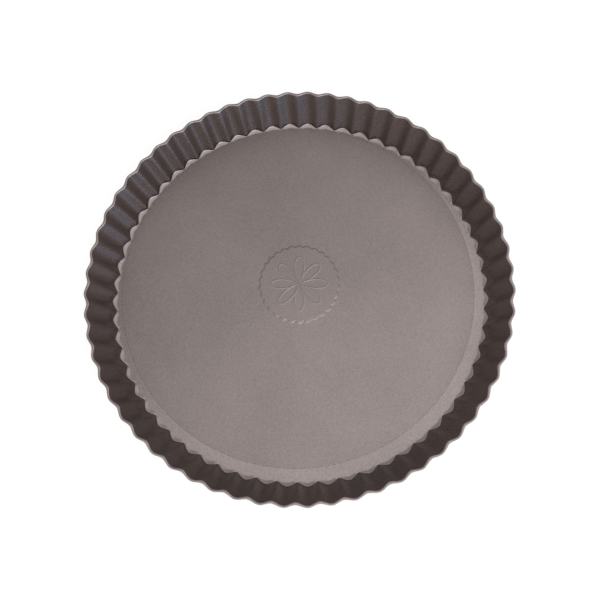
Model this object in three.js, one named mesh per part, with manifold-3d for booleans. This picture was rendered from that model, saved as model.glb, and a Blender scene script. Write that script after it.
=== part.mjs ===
// Loose-bottomed pie pan: a fluted sheet-steel ring with an inward ledge, and a loose base lying on it.
// Millimetres, +Z up. The origin is on the ring's axis, in the plane that the ring stands on.
import * as THREE from 'three';
import { mergeVertices } from 'three/addons/utils/BufferGeometryUtils.js';
import Module from 'manifold-3d';

// Ring, measured on the crests of its flutes
const RIM_RADIUS = 140; // outer edge of the lip
const HEIGHT = 26; // from the table to the top of the lip
const RING_SHEET = 0.5;
const WALL_FLARE = 10.15; // how far the wall leans out from the ledge to the lip
const LIP_WIDTH = 1.2; // how far the lip stands out from the wall
const LIP_BEND = 0.8; // radius over the bend into the lip
const CREST_BEND = 3.5; // radius inside the bend from the ledge into the wall, on the crests
const FOLD_BEND = 0.4; // the same in the folds

// Flutes: rounded crests that point out and narrow folds that point in
const FLUTE_COUNT = 60;
const FOOT_FLUTE_DEPTH = 2.3;
const MIDDLE_FLUTE_DEPTH = 3; // half way up the wall
const RIM_FLUTE_DEPTH = 2.1;
const LIP_FLUTE_DEPTH = 1.75; // at the lip's outer edge
const FOOT_SOFTNESS = 0.3; // 0 is a round crest with a sharp fold, 1 is an even wave
const RIM_SOFTNESS = 0.8;
const FLUTE_STEPS = 6; // flat strips that make one flute

// Loose base, a flat disc that can slide a little way on the ledge
const BASE_SHEET = 0.6;
const BASE_PLAY = 4.4; // how far the centred disc's edge is from the folds
const BASE_CLEARANCE = 0.3; // what is left of the play on the side that it has slid to
const BASE_SLIDE_DEGREES = 112; // the way it has slid, turned from +X
const BASE_STEPS = 120;
const LEDGE_BEARING = 3; // width of ledge under the disc's edge where it lies narrowest

// Medallion pressed up near the middle of the base
const MEDALLION_RADIUS = 28.4;
const MEDALLION_X = 2.3; // how far its middle is from the disc's
const MEDALLION_Y = 1.4;
const MEDALLION_RISE = 0.35;
const SCALLOP_COUNT = 30;
const SCALLOP_DEPTH = 0.8;
const SCALLOP_STEPS = 6;

// Grey-brown satin coating over steel
const COATING = { color: 0x8f8380, roughness: 0.38, metalness: 0.7 };

// Places that follow from the sizes above
const FOOT_RADIUS = RIM_RADIUS - LIP_WIDTH - WALL_FLARE;
const WALL_ANGLE = Math.atan2(HEIGHT - RING_SHEET, WALL_FLARE);
const BEND_SHARE = Math.tan(WALL_ANGLE / 2);
const LEDGE_END = FOOT_RADIUS - FOLD_BEND * BEND_SHARE; // in the folds, before they are drawn in
const BASE_RADIUS = LEDGE_END - FOOT_FLUTE_DEPTH - BASE_PLAY;
const BASE_SLIDE = BASE_PLAY - BASE_CLEARANCE;
const HOLE_RADIUS = BASE_RADIUS - BASE_SLIDE - LEDGE_BEARING;

const wasm = await Module();
wasm.setup();

// How far in a flute lies at a share of its pitch from the crest, from 0 on the crest to 1 in the fold
function flute(share, softness) {
  const roundCrest = (2 * share) ** 2;
  const evenWave = (1 - Math.cos(2 * Math.PI * share)) / 2;
  return THREE.MathUtils.lerp(roundCrest, evenWave, softness);
}

// Where an angle lies in its flute: 0 on a crest, half a pitch away in the folds at 0 degrees and so on
function pitchShare(angle, count) {
  const turn = (angle * count) / (2 * Math.PI);
  return turn - Math.floor(turn) - 0.5;
}

// Section through the ring's sheet: ledge, bend, wall and lip, as one closed outline
function sheetSection(footBend) {
  const footX = FOOT_RADIUS - footBend * BEND_SHARE;
  const footY = RING_SHEET + footBend;
  const lipX = FOOT_RADIUS + WALL_FLARE + LIP_BEND * BEND_SHARE;
  const lipY = HEIGHT - LIP_BEND;
  const underLip = HEIGHT - RING_SHEET;
  const quarter = Math.PI / 2;
  const outerWallX = FOOT_RADIUS + RING_SHEET / Math.sin(WALL_ANGLE);
  const middleX = FOOT_RADIUS + WALL_FLARE / 2;
  const middleY = (HEIGHT + RING_SHEET) / 2;
  const section = new THREE.Path();
  section.moveTo(HOLE_RADIUS, RING_SHEET);
  section.lineTo(HOLE_RADIUS, 0);
  section.absarc(footX, footY, footBend + RING_SHEET, -quarter, WALL_ANGLE - quarter, false);
  section.lineTo(middleX + RING_SHEET / Math.sin(WALL_ANGLE), middleY);
  section.lineTo(outerWallX + (underLip - RING_SHEET) / Math.tan(WALL_ANGLE), underLip);
  section.lineTo(RIM_RADIUS, underLip);
  section.lineTo(RIM_RADIUS, HEIGHT);
  section.absarc(lipX, lipY, LIP_BEND, quarter, quarter + WALL_ANGLE, false);
  section.lineTo(middleX, middleY);
  section.absarc(footX, footY, footBend, WALL_ANGLE - quarter, -quarter, true);
  section.closePath();
  return section.getPoints(1);
}

// Depth of the flutes at a radius and a share of the height: deepest half way up, shallow at the lip's edge
function fluteDepth(radius, climb) {
  const even = THREE.MathUtils.lerp(FOOT_FLUTE_DEPTH, RIM_FLUTE_DEPTH, climb);
  const swell = MIDDLE_FLUTE_DEPTH - (FOOT_FLUTE_DEPTH + RIM_FLUTE_DEPTH) / 2;
  const overLip = THREE.MathUtils.smoothstep(radius, RIM_RADIUS - LIP_WIDTH, RIM_RADIUS);
  return even + swell * 4 * climb * (1 - climb) - (RIM_FLUTE_DEPTH - LIP_FLUTE_DEPTH) * overLip;
}

// The section turned once round the axis, with its foot bent tighter towards the folds, and with the wall
// drawn in to flutes that die out across the ledge
function flutedRing() {
  const crest = sheetSection(CREST_BEND);
  const fold = sheetSection(FOLD_BEND);
  const ring = new THREE.LatheGeometry(crest, FLUTE_COUNT * FLUTE_STEPS);
  ring.rotateX(Math.PI / 2);
  const place = ring.getAttribute('position');
  for (let i = 0; i < place.count; i += 1) {
    const angle = Math.atan2(place.getY(i), place.getX(i));
    const share = pitchShare(angle, FLUTE_COUNT);
    const corner = i % crest.length;
    const onSheet = crest[corner].clone().lerp(fold[corner], flute(share, FOOT_SOFTNESS));
    const climb = onSheet.y / HEIGHT;
    const softness = THREE.MathUtils.lerp(FOOT_SOFTNESS, RIM_SOFTNESS, climb);
    const across = THREE.MathUtils.clamp((onSheet.x - HOLE_RADIUS) / (LEDGE_END - HOLE_RADIUS), 0, 1);
    const radius = onSheet.x - across * fluteDepth(onSheet.x, climb) * flute(share, softness);
    place.setXYZ(i, radius * Math.cos(angle), radius * Math.sin(angle), onSheet.y);
  }
  return welded(ring);
}

// Scalloped outline of the medallion, drawn in by the same amount all round
function scallopedShape(inset) {
  const points = [];
  for (let i = 0; i < SCALLOP_COUNT * SCALLOP_STEPS; i += 1) {
    const angle = (2 * Math.PI * i) / (SCALLOP_COUNT * SCALLOP_STEPS);
    const radius = MEDALLION_RADIUS - inset - SCALLOP_DEPTH * flute(pitchShare(angle, SCALLOP_COUNT), 0);
    points.push(new THREE.Vector2(radius * Math.cos(angle), radius * Math.sin(angle)));
  }
  return new THREE.Shape(points);
}

// Flat disc with the medallion pressed up through it, hollow below by as much as it rises above
function looseBase() {
  const disc = new THREE.CylinderGeometry(BASE_RADIUS, BASE_RADIUS, BASE_SHEET, BASE_STEPS);
  disc.rotateX(Math.PI / 2);
  disc.translate(0, 0, BASE_SHEET / 2);
  const pressed = { depth: BASE_SHEET + MEDALLION_RISE, bevelEnabled: false };
  const raised = new THREE.ExtrudeGeometry(scallopedShape(0), pressed);
  const hollow = new THREE.ExtrudeGeometry(scallopedShape(BASE_SHEET), pressed);
  raised.translate(MEDALLION_X, MEDALLION_Y, 0);
  hollow.translate(MEDALLION_X, MEDALLION_Y, -BASE_SHEET);
  return geometryOf(solidOf(disc).add(solidOf(raised)).subtract(solidOf(hollow)));
}

// Geometry with only its places kept, and shared corners joined
function welded(geometry) {
  geometry.deleteAttribute('normal');
  geometry.deleteAttribute('uv');
  const joined = mergeVertices(geometry);
  joined.computeVertexNormals();
  return joined;
}

function solidOf(geometry) {
  const closed = welded(geometry);
  const vertProperties = new Float32Array(closed.getAttribute('position').array);
  const triVerts = new Uint32Array(closed.getIndex().array);
  return new wasm.Manifold(new wasm.Mesh({ numProp: 3, vertProperties, triVerts }));
}

function geometryOf(solid) {
  const mesh = solid.getMesh();
  const geometry = new THREE.BufferGeometry();
  geometry.setAttribute('position', new THREE.BufferAttribute(mesh.vertProperties, 3));
  geometry.setIndex(new THREE.BufferAttribute(mesh.triVerts, 1));
  geometry.computeVertexNormals();
  return geometry;
}

function piece(name, geometry) {
  const mesh = new THREE.Mesh(geometry, new THREE.MeshStandardMaterial(COATING));
  mesh.name = name;
  return mesh;
}

const pan = new THREE.Group();
pan.add(piece('fluted_ring', flutedRing()));

// The base lies flat on the ledge, slid over until its edge meets the folds
const base = piece('loose_base', looseBase());
const slideAngle = THREE.MathUtils.degToRad(BASE_SLIDE_DEGREES);
base.position.set(BASE_SLIDE * Math.cos(slideAngle), BASE_SLIDE * Math.sin(slideAngle), RING_SHEET);
pan.add(base);

export default pan;
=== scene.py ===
from collections import namedtuple
from math import atan2, cos, exp, floor, hypot, pi, radians, sin, sqrt, tan

import bmesh
import bpy
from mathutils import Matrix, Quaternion, Vector


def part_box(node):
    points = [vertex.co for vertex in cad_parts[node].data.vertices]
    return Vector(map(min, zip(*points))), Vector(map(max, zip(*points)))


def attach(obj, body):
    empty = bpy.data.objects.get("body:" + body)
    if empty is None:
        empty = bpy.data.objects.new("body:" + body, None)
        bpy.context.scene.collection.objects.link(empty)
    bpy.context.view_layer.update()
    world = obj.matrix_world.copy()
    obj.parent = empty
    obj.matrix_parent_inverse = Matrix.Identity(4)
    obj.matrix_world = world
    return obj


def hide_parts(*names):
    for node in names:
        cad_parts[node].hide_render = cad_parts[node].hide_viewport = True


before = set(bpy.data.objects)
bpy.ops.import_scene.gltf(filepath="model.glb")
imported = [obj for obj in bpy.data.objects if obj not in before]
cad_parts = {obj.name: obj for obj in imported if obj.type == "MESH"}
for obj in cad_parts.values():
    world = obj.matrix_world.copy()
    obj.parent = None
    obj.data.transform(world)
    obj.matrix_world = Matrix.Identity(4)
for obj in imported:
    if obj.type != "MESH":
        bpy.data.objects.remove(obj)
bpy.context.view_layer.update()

MM = 0.001
FULL_TURN = 2 * pi

# Boxes of the two pressings, which give the outer sizes and the place of the loose base
ring_low, ring_high = (Vector(corner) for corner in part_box("fluted_ring"))
base_low, base_high = (Vector(corner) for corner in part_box("loose_base"))

# Ring, measured on the crests of its flutes, which lie half a pitch away from +X
FLUTE_COUNT = 60
RIM_RADIUS = ring_high.x / cos(pi / FLUTE_COUNT)
HEIGHT = ring_high.z
RING_SHEET = base_low.z
WALL_FLARE = 10.15 * MM
LIP_WIDTH = 1.2 * MM
LIP_BEND = 0.8 * MM
FOOT_BEND = 0.4 * MM  # inside the bend from the ledge into the wall
CREST_LIFT = 1.25 * MM  # how far the ledge rises to that bend on the crests
CREST_REACH = 2.5 * MM  # width of ledge over which it rises
FOOT_RADIUS = RIM_RADIUS - LIP_WIDTH - WALL_FLARE
WALL_LEAN = atan2(HEIGHT - RING_SHEET, WALL_FLARE)
BEND_SHARE = tan(WALL_LEAN / 2)
LEDGE_END = FOOT_RADIUS - FOOT_BEND * BEND_SHARE
LIFT_START = FOOT_RADIUS - CREST_REACH

# Flutes: rounded crests that point out and narrow folds that point in
FOOT_FLUTE_DEPTH = 2.3 * MM
MIDDLE_FLUTE_DEPTH = 3.0 * MM
RIM_FLUTE_DEPTH = 2.1 * MM
LIP_FLUTE_DEPTH = 1.75 * MM
FOOT_SOFTNESS = 0.3  # 0 is a round crest with a narrow fold, 1 is an even wave
RIM_SOFTNESS = 0.8
FOLD_ROUNDING = 0.05  # share of the pitch over which a fold's tip is rounded
FLUTE_STEPS = 20

# Loose base
BASE_CENTRE = (base_low + base_high) / 2
BASE_RADIUS = (base_high.x - base_low.x) / 2
BASE_SHEET = 0.6 * MM
BASE_TOP = RING_SHEET + BASE_SHEET
BASE_STEPS = 360
LEDGE_BEARING = 3 * MM  # width of ledge under the disc's edge where it lies narrowest
HOLE_RADIUS = BASE_RADIUS - hypot(BASE_CENTRE.x, BASE_CENTRE.y) - LEDGE_BEARING

# Medallion pressed up near the middle of the base
MEDALLION_RADIUS = 28.4 * MM
MEDALLION_PLACE = Vector((2.3, 1.4)) * MM  # how far its middle is from the disc's
MEDALLION_RISE = 0.45 * MM
MEDALLION_SLOPE = 0.93 * MM  # width of its sloping edge
SCALLOP_COUNT = 30
SCALLOP_DEPTH = 1.3 * MM
SCALLOP_FADE = 6 * MM  # how far from the edge the scallops die out

# Rosette of raised lines in the medallion
PETAL_COUNT = 8
PETAL_TIP = 19.5 * MM
PETAL_HEART = 5 * MM
PETAL_LINE = 0.75 * MM
PETAL_RISE = 0.22 * MM

EDGE_BEVEL = 0.12 * MM
EDGE_SEGMENTS = 2
BESIDE_BEND = 0.1 * MM
WELD = 1e-6

# Satin coating: tones of its grain, and roughness from its smoothest specks to its roughest
RING_LIGHT = (0.262, 0.221, 0.213)
RING_DARK = (0.175, 0.148, 0.142)
RING_ROUGHNESS = (0.24, 0.32)
BASE_LIGHT = (0.252, 0.213, 0.205)
BASE_DARK = (0.168, 0.142, 0.137)
BASE_ROUGHNESS = (0.38, 0.5)
GRAIN_SCALE = 1200
DRIFT_SCALE = 14
DRIFT_SHARE = 0.4  # how much the slow drift adds to the grain
TONE_LOW, TONE_HIGH = 0.47, 0.93  # grain and drift together where the tone is darkest and lightest
SKIN_STRENGTH = 0.25
SKIN_DEPTH = 0.04 * MM

# Edges where the coating is rubbed off in flecks
RUBBED_EDGE = 0.25 * MM
BARE_STEEL = (0.5, 0.48, 0.46)
FLECK_SCALE = 600
FLECK_LOW, FLECK_HIGH = 0.35, 0.6

FLOOR_RADIUS = 4
FLOOR_STEPS = 64
FLOOR_COLOUR = (0.9, 0.9, 0.9, 1)
FLOOR_ROUGHNESS = 0.9
FLOOR_WHITENING = 0.8  # share of plain white in what is seen of the floor
WHITE = (1, 1, 1, 1)

# Where the room is dimmer: behind the pan, half way up
DIM_WAY = Vector((-0.25, 0.56, 0.79))
DIM_REACH = radians(38)
DIM_CORE = radians(12)
DIM_LEVEL = 0.8

# Camera, from a pinhole fit to the rim's outline and to the scalloped line of the foot
CAMERA_SENSOR = 36
CAMERA_LENS = 35.67
CAMERA_PLACE = Vector((0.01825, -0.1106, 0.39573))
CAMERA_TURN = tuple(radians(angle) for angle in (14.786, 2.424, 0.165))

# Corner of a section, with the cuts in the stretch after it and the reach and segments of its bend
Corner = namedtuple("Corner", "radius height cuts bend segments", defaults=(0, 0, 0))


def flute(share, softness):
    """How far in a flute lies at a share of its pitch from the crest: 0 on the crest, 1 in the fold."""
    from_fold = 0.5 - abs(share)
    rounded = sqrt(from_fold ** 2 + FOLD_ROUNDING ** 2) - FOLD_ROUNDING
    round_crest = (1 - 2 * rounded) ** 2
    even_wave = (1 - cos(FULL_TURN * share)) / 2
    return round_crest + (even_wave - round_crest) * softness


def pitch_share(angle, count):
    """Where an angle lies in its flute: 0 on a crest, half a pitch away in a fold."""
    pitches = angle * count / FULL_TURN
    return pitches - floor(pitches) - 0.5


def clamp(value):
    """The value, kept from 0 to 1."""
    return min(max(value, 0), 1)


def ramp(value, low, high):
    """Smooth step from 0 at low to 1 at high."""
    share = clamp((value - low) / (high - low))
    return share * share * (3 - 2 * share)


def rounded_line(corners, closed=False):
    """A bmesh line through the corners, with its stretches cut and its bends rounded.

    A cut close beside each bend keeps the flat stretches flat when the surface is shaded smoothly.
    """
    bm = bmesh.new()
    points = [Vector((corner.radius, 0, corner.height)) for corner in corners]
    verts = []
    bent = []
    for index in range(len(corners) if closed else len(corners) - 1):
        after = (index + 1) % len(corners)
        corner, next_corner = corners[index], corners[after]
        length = (points[after] - points[index]).length
        places = [0]
        low, high = 0, 1
        if corner.bend:
            low = (corner.bend + BESIDE_BEND) / length
            places.append(low)
        if next_corner.bend:
            high = 1 - (next_corner.bend + BESIDE_BEND) / length
        places += [low + (high - low) * (step + 1) / (corner.cuts + 1) for step in range(corner.cuts)]
        if next_corner.bend:
            places.append(high)
        stretch = [bm.verts.new(points[index].lerp(points[after], place)) for place in places]
        if corner.bend:
            bent.append((stretch[0], corner))
        verts += stretch
    verts.append(verts[0] if closed else bm.verts.new(points[-1]))
    for pair in zip(verts, verts[1:]):
        bm.edges.new(pair)
    for vert, corner in bent:
        bmesh.ops.bevel(bm, geom=[vert], offset=corner.bend, offset_type="OFFSET",
                        segments=corner.segments, profile=0.5, affect="VERTICES", material=-1)
    return bm


def turn(bm, angle, steps, copies=False, full=False):
    """Turns everything round the pan's axis, as a skin or as copies; a full turn's ends are joined."""
    bmesh.ops.spin(bm, geom=bm.verts[:] + bm.edges[:] + bm.faces[:], cent=(0, 0, 0), axis=(0, 0, 1),
                   angle=angle, steps=steps, use_duplicate=copies, use_merge=full)


def weld(bm):
    """Joins the seams and poles, and turns every face outwards."""
    bmesh.ops.remove_doubles(bm, verts=bm.verts, dist=WELD)
    bmesh.ops.recalc_face_normals(bm, faces=bm.faces)


def rub_edge(bm, edge_radius):
    """Marks where the coating is rubbed off: fully at the outer edge, and not at all further in."""
    rubbed = bm.verts.layers.float.new("rubbed")
    for vert in bm.verts:
        vert[rubbed] = ramp(hypot(vert.co.x, vert.co.y), edge_radius - RUBBED_EDGE, edge_radius)


def finish_piece(name, bm, material, body, node):
    """Turns a bmesh into a smooth object that rides on its body and stands for its CAD node."""
    mesh = bpy.data.meshes.new(name)
    for face in bm.faces:
        face.smooth = True
    bm.to_mesh(mesh)
    bm.free()
    mesh.materials.append(material)
    piece = bpy.data.objects.new(name, mesh)
    bpy.context.scene.collection.objects.link(piece)
    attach(piece, body)
    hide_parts(node)


def flute_depth(radius, climb):
    """Depth of the flutes at a share of the height: deepest half way up, shallow at the lip's edge."""
    even = FOOT_FLUTE_DEPTH + (RIM_FLUTE_DEPTH - FOOT_FLUTE_DEPTH) * climb
    swell = MIDDLE_FLUTE_DEPTH - (FOOT_FLUTE_DEPTH + RIM_FLUTE_DEPTH) / 2
    over_lip = ramp(radius, RIM_RADIUS - LIP_WIDTH, RIM_RADIUS)
    return even + swell * 4 * climb * (1 - climb) - (RIM_FLUTE_DEPTH - LIP_FLUTE_DEPTH) * over_lip


def fold_flutes(bm):
    """Lifts the ledge towards the crests, and draws the wall in to flutes that die out on the ledge."""
    for vert in bm.verts:
        angle = atan2(vert.co.y, vert.co.x)
        share = pitch_share(angle, FLUTE_COUNT)
        radius, height = hypot(vert.co.x, vert.co.y), vert.co.z
        near_wall = clamp((radius - LIFT_START) / CREST_REACH)
        below_lip = max(1 - height / (HEIGHT - RING_SHEET), 0)
        lift = CREST_LIFT * (1 - flute(share, FOOT_SOFTNESS)) * near_wall ** 2 * below_lip
        radius += lift / tan(WALL_LEAN)
        height += lift
        climb = height / HEIGHT
        softness = FOOT_SOFTNESS + (RIM_SOFTNESS - FOOT_SOFTNESS) * climb
        across = clamp((radius - HOLE_RADIUS) / (LEDGE_END - HOLE_RADIUS))
        radius -= across * flute_depth(radius, climb) * flute(share, softness)
        vert.co = radius * cos(angle), radius * sin(angle), height


def make_ring(material):
    """The section of the sheet, turned through one flute and drawn in, then repeated all round."""
    sheet_out = RING_SHEET / sin(WALL_LEAN) - RING_SHEET / tan(WALL_LEAN)
    wall_top = FOOT_RADIUS + WALL_FLARE
    under_lip = HEIGHT - RING_SHEET
    edge = {"bend": EDGE_BEVEL, "segments": EDGE_SEGMENTS}
    outside = [
        Corner(HOLE_RADIUS, 0, cuts=1, **edge),
        Corner(LIFT_START, 0, cuts=5),
        Corner(FOOT_RADIUS + sheet_out, 0, cuts=5, bend=(FOOT_BEND + RING_SHEET) * BEND_SHARE, segments=4),
        Corner(wall_top + sheet_out, under_lip, bend=(LIP_BEND - RING_SHEET) * BEND_SHARE, segments=3),
        Corner(RIM_RADIUS, under_lip, **edge),
    ]
    inside = [
        Corner(RIM_RADIUS, HEIGHT, **edge),
        Corner(wall_top, HEIGHT, cuts=6, bend=LIP_BEND * BEND_SHARE, segments=5),
        Corner(FOOT_RADIUS, RING_SHEET, cuts=7, bend=FOOT_BEND * BEND_SHARE, segments=4),
        Corner(LIFT_START, RING_SHEET, cuts=2),
        Corner(HOLE_RADIUS, RING_SHEET, **edge),
    ]
    bm = rounded_line(outside + inside, closed=True)
    pitch = FULL_TURN / FLUTE_COUNT
    turn(bm, pitch, FLUTE_STEPS)
    rub_edge(bm, RIM_RADIUS)
    fold_flutes(bm)
    turn(bm, FULL_TURN - pitch, FLUTE_COUNT - 1, copies=True)
    weld(bm)
    finish_piece("coated_ring", bm, material, "ring", "fluted_ring")


def petal_line(radius, angle):
    """Height of the rosette's raised lines, from 0 to 1."""
    swing = abs(cos(angle * PETAL_COUNT / 2))
    length = PETAL_TIP - PETAL_HEART
    steep = length * PETAL_COUNT / 2 * sqrt(1 - swing ** 2) / max(radius, PETAL_HEART)
    apart = (radius - PETAL_HEART - length * swing) / hypot(1, steep)
    return exp(-(apart / (PETAL_LINE / 2)) ** 2)


def press_medallion(bm):
    """Raises the scalloped medallion and its rosette, set a little off the disc's middle."""
    slope_top = MEDALLION_RADIUS - MEDALLION_SLOPE
    fade_end = MEDALLION_RADIUS + SCALLOP_FADE
    for vert in bm.verts:
        radius = hypot(vert.co.x, vert.co.y)
        angle = atan2(vert.co.y, vert.co.x)
        rise = MEDALLION_RISE * (1 - ramp(radius, slope_top, MEDALLION_RADIUS))
        if radius < PETAL_TIP + PETAL_LINE:
            rise += PETAL_RISE * petal_line(radius, angle)
        near_edge = 1 - ramp(abs(radius - MEDALLION_RADIUS), MEDALLION_SLOPE, SCALLOP_FADE)
        drawn = radius - near_edge * SCALLOP_DEPTH * flute(pitch_share(angle, SCALLOP_COUNT), 0)
        aside = MEDALLION_PLACE * (1 - ramp(radius, fade_end, BASE_RADIUS - EDGE_BEVEL))
        vert.co = drawn * cos(angle) + aside.x, drawn * sin(angle) + aside.y, vert.co.z + rise


def make_base(material):
    """A disc whose upper face is pressed into the medallion, given its thickness downwards."""
    bm = rounded_line([
        Corner(0, BASE_TOP, cuts=50),
        Corner(MEDALLION_RADIUS - SCALLOP_FADE, BASE_TOP, cuts=7),
        Corner(MEDALLION_RADIUS - MEDALLION_SLOPE, BASE_TOP, cuts=7),
        Corner(MEDALLION_RADIUS, BASE_TOP, cuts=5),
        Corner(MEDALLION_RADIUS + SCALLOP_FADE, BASE_TOP, cuts=6),
        Corner(BASE_RADIUS - RUBBED_EDGE, BASE_TOP),
        Corner(BASE_RADIUS - EDGE_BEVEL, BASE_TOP),
        Corner(BASE_RADIUS, BASE_TOP - EDGE_BEVEL),
    ])
    turn(bm, FULL_TURN, BASE_STEPS, full=True)
    weld(bm)
    rub_edge(bm, BASE_RADIUS)
    press_medallion(bm)
    bmesh.ops.solidify(bm, geom=bm.faces[:], thickness=BASE_SHEET)
    bmesh.ops.translate(bm, verts=bm.verts, vec=(BASE_CENTRE.x, BASE_CENTRE.y, 0))
    bmesh.ops.recalc_face_normals(bm, faces=bm.faces)
    finish_piece("coated_base", bm, material, "base", "loose_base")


def add(tree, kind, inputs=None, **settings):
    """Adds a node with its settings and inputs: plain values, or sockets to link from."""
    node = tree.nodes.new(kind)
    for name, value in settings.items():
        setattr(node, name, value)
    for name, value in (inputs or {}).items():
        if isinstance(value, bpy.types.NodeSocket):
            tree.links.new(value, node.inputs[name])
        else:
            node.inputs[name].default_value = value
    return node


def noise(tree, place, scale, detail, roughness):
    """Noise in the piece's own place, as a value."""
    settings = {"Vector": place, "Scale": scale, "Detail": detail, "Roughness": roughness}
    return add(tree, "ShaderNodeTexNoise", settings).outputs["Fac"]


def satin_coating(name, light, dark, roughness):
    """Grey-brown non-stick coating: fine grain, slow drift of tone, uneven skin and rubbed edges."""
    material = bpy.data.materials.new(name)
    material.use_nodes = True
    tree = material.node_tree
    shader = tree.nodes["Principled BSDF"]
    shader.inputs["Metallic"].default_value = 1
    place = add(tree, "ShaderNodeTexCoord").outputs["Object"]
    grain = noise(tree, place, GRAIN_SCALE, detail=2, roughness=0.7)
    drift = noise(tree, place, DRIFT_SCALE, detail=3, roughness=0.5)
    flecks = noise(tree, place, FLECK_SCALE, detail=2, roughness=0.5)

    blotch = add(tree, "ShaderNodeMath", {0: drift, 1: DRIFT_SHARE, 2: grain}, operation="MULTIPLY_ADD")
    tone = add(tree, "ShaderNodeMapRange",
               {"Value": blotch.outputs[0], "From Min": TONE_LOW, "From Max": TONE_HIGH})
    colour = add(tree, "ShaderNodeMix",
                 {"Factor": tone.outputs[0], "A": (*dark, 1), "B": (*light, 1)}, data_type="RGBA")

    edge = add(tree, "ShaderNodeAttribute", attribute_name="rubbed").outputs["Fac"]
    bare = add(tree, "ShaderNodeMapRange", {"Value": flecks, "From Min": FLECK_LOW, "From Max": FLECK_HIGH})
    worn = add(tree, "ShaderNodeMath", {0: edge, 1: bare.outputs[0]}, operation="MULTIPLY")
    surface = add(tree, "ShaderNodeMix", {"Factor": worn.outputs[0], "A": colour.outputs["Result"],
                                          "B": (*BARE_STEEL, 1)}, data_type="RGBA")
    tree.links.new(surface.outputs["Result"], shader.inputs["Base Color"])

    smoothest, roughest = roughness
    gloss = add(tree, "ShaderNodeMapRange", {"Value": grain, "To Min": smoothest, "To Max": roughest})
    tree.links.new(gloss.outputs[0], shader.inputs["Roughness"])
    skin = add(tree, "ShaderNodeBump", {"Height": grain, "Strength": SKIN_STRENGTH, "Distance": SKIN_DEPTH})
    tree.links.new(skin.outputs[0], shader.inputs["Normal"])
    return material


def white_floor():
    """White floor that shows as nearly white, with the soft shadow that falls on it."""
    material = bpy.data.materials.new("white_floor")
    material.use_nodes = True
    tree = material.node_tree
    shader = tree.nodes["Principled BSDF"]
    shader.inputs["Base Color"].default_value = FLOOR_COLOUR
    shader.inputs["Roughness"].default_value = FLOOR_ROUGHNESS
    ray = add(tree, "ShaderNodeLightPath").outputs
    seen = ray["Is Camera Ray"]
    for kind in ("Is Glossy Ray", "Is Transmission Ray"):
        seen = add(tree, "ShaderNodeMath", {0: seen, 1: ray[kind]}, operation="MAXIMUM").outputs[0]
    share = add(tree, "ShaderNodeMath", {0: seen, 1: FLOOR_WHITENING}, operation="MULTIPLY").outputs[0]
    white = add(tree, "ShaderNodeEmission", {"Color": WHITE, "Strength": 1}).outputs[0]
    mixed = add(tree, "ShaderNodeMixShader", {0: share, 1: shader.outputs[0], 2: white}).outputs[0]
    tree.links.new(mixed, tree.nodes["Material Output"].inputs["Surface"])
    return material


def make_floor():
    """Plain round floor that the pan stands on."""
    bm = bmesh.new()
    bmesh.ops.create_circle(bm, cap_ends=True, segments=FLOOR_STEPS, radius=FLOOR_RADIUS)
    mesh = bpy.data.meshes.new("floor")
    bm.to_mesh(mesh)
    bm.free()
    mesh.materials.append(white_floor())
    floor_disc = bpy.data.objects.new("floor", mesh)
    bpy.context.scene.collection.objects.link(floor_disc)


def make_room():
    """White room all round, a little dimmer in one part behind the pan."""
    world = bpy.data.worlds.new("studio")
    world.use_nodes = True
    tree = world.node_tree
    background = tree.nodes["Background"]
    background.inputs["Color"].default_value = WHITE
    way = add(tree, "ShaderNodeTexCoord").outputs["Generated"]
    near = add(tree, "ShaderNodeVectorMath", {0: way, 1: DIM_WAY}, operation="DOT_PRODUCT")
    level = add(tree, "ShaderNodeMapRange",
                {"Value": near.outputs["Value"], "From Min": cos(DIM_REACH), "From Max": cos(DIM_CORE),
                 "To Min": 1, "To Max": DIM_LEVEL}, interpolation_type="SMOOTHSTEP")
    tree.links.new(level.outputs[0], background.inputs["Strength"])
    bpy.context.scene.world = world


def area_light(name, place, size, radiance, aim=(0, 0, 0), spin=0):
    """Soft rectangular light that faces its aim, with a face of the given red, green and blue radiance."""
    lamp = bpy.data.lights.new(name, "AREA")
    lamp.shape = "RECTANGLE"
    lamp.size, lamp.size_y = size
    brightest = max(radiance)
    lamp.color = [part / brightest for part in radiance]
    lamp.energy = brightest * pi * size[0] * size[1]
    light = bpy.data.objects.new(name, lamp)
    light.location = place
    facing = (Vector(aim) - Vector(place)).to_track_quat("-Z", "Y")
    light.rotation_euler = (facing @ Quaternion((0, 0, 1), spin)).to_euler()
    light.visible_camera = False
    bpy.context.scene.collection.objects.link(light)


def make_lights():
    """A broad light overhead to the right, a faint one at the front left, and at the front right a low
    cool one like a window and a bright narrow one higher up."""
    area_light("overhead", place=(0.6, -0.15, 1.5), aim=(0.6, -0.15, 0), size=(1.8, 2.4),
               radiance=(0.65, 0.65, 0.65), spin=radians(-48))
    area_light("front", place=(-0.78, -1.11, 0.63), size=(1.6, 1.0), radiance=(0.2, 0.2, 0.2))
    area_light("window", place=(0.85, -0.93, 0.3), size=(0.8, 0.42), radiance=(0.7, 1.7, 3.0))
    area_light("curtain", place=(0.47, -0.89, 1.11), size=(1.6, 0.42), radiance=(4, 4, 4))


def make_camera():
    """Camera at the photograph's viewing angle."""
    lens = bpy.data.cameras.new("camera")
    lens.sensor_width = CAMERA_SENSOR
    lens.lens = CAMERA_LENS
    camera = bpy.data.objects.new("camera", lens)
    camera.location = CAMERA_PLACE
    camera.rotation_euler = CAMERA_TURN
    bpy.context.scene.collection.objects.link(camera)
    bpy.context.scene.camera = camera


make_camera()
make_ring(satin_coating("ring_satin", RING_LIGHT, RING_DARK, RING_ROUGHNESS))
make_base(satin_coating("base_satin", BASE_LIGHT, BASE_DARK, BASE_ROUGHNESS))
make_floor()
make_room()
make_lights()
bpy.context.scene.view_settings.view_transform = "Standard"
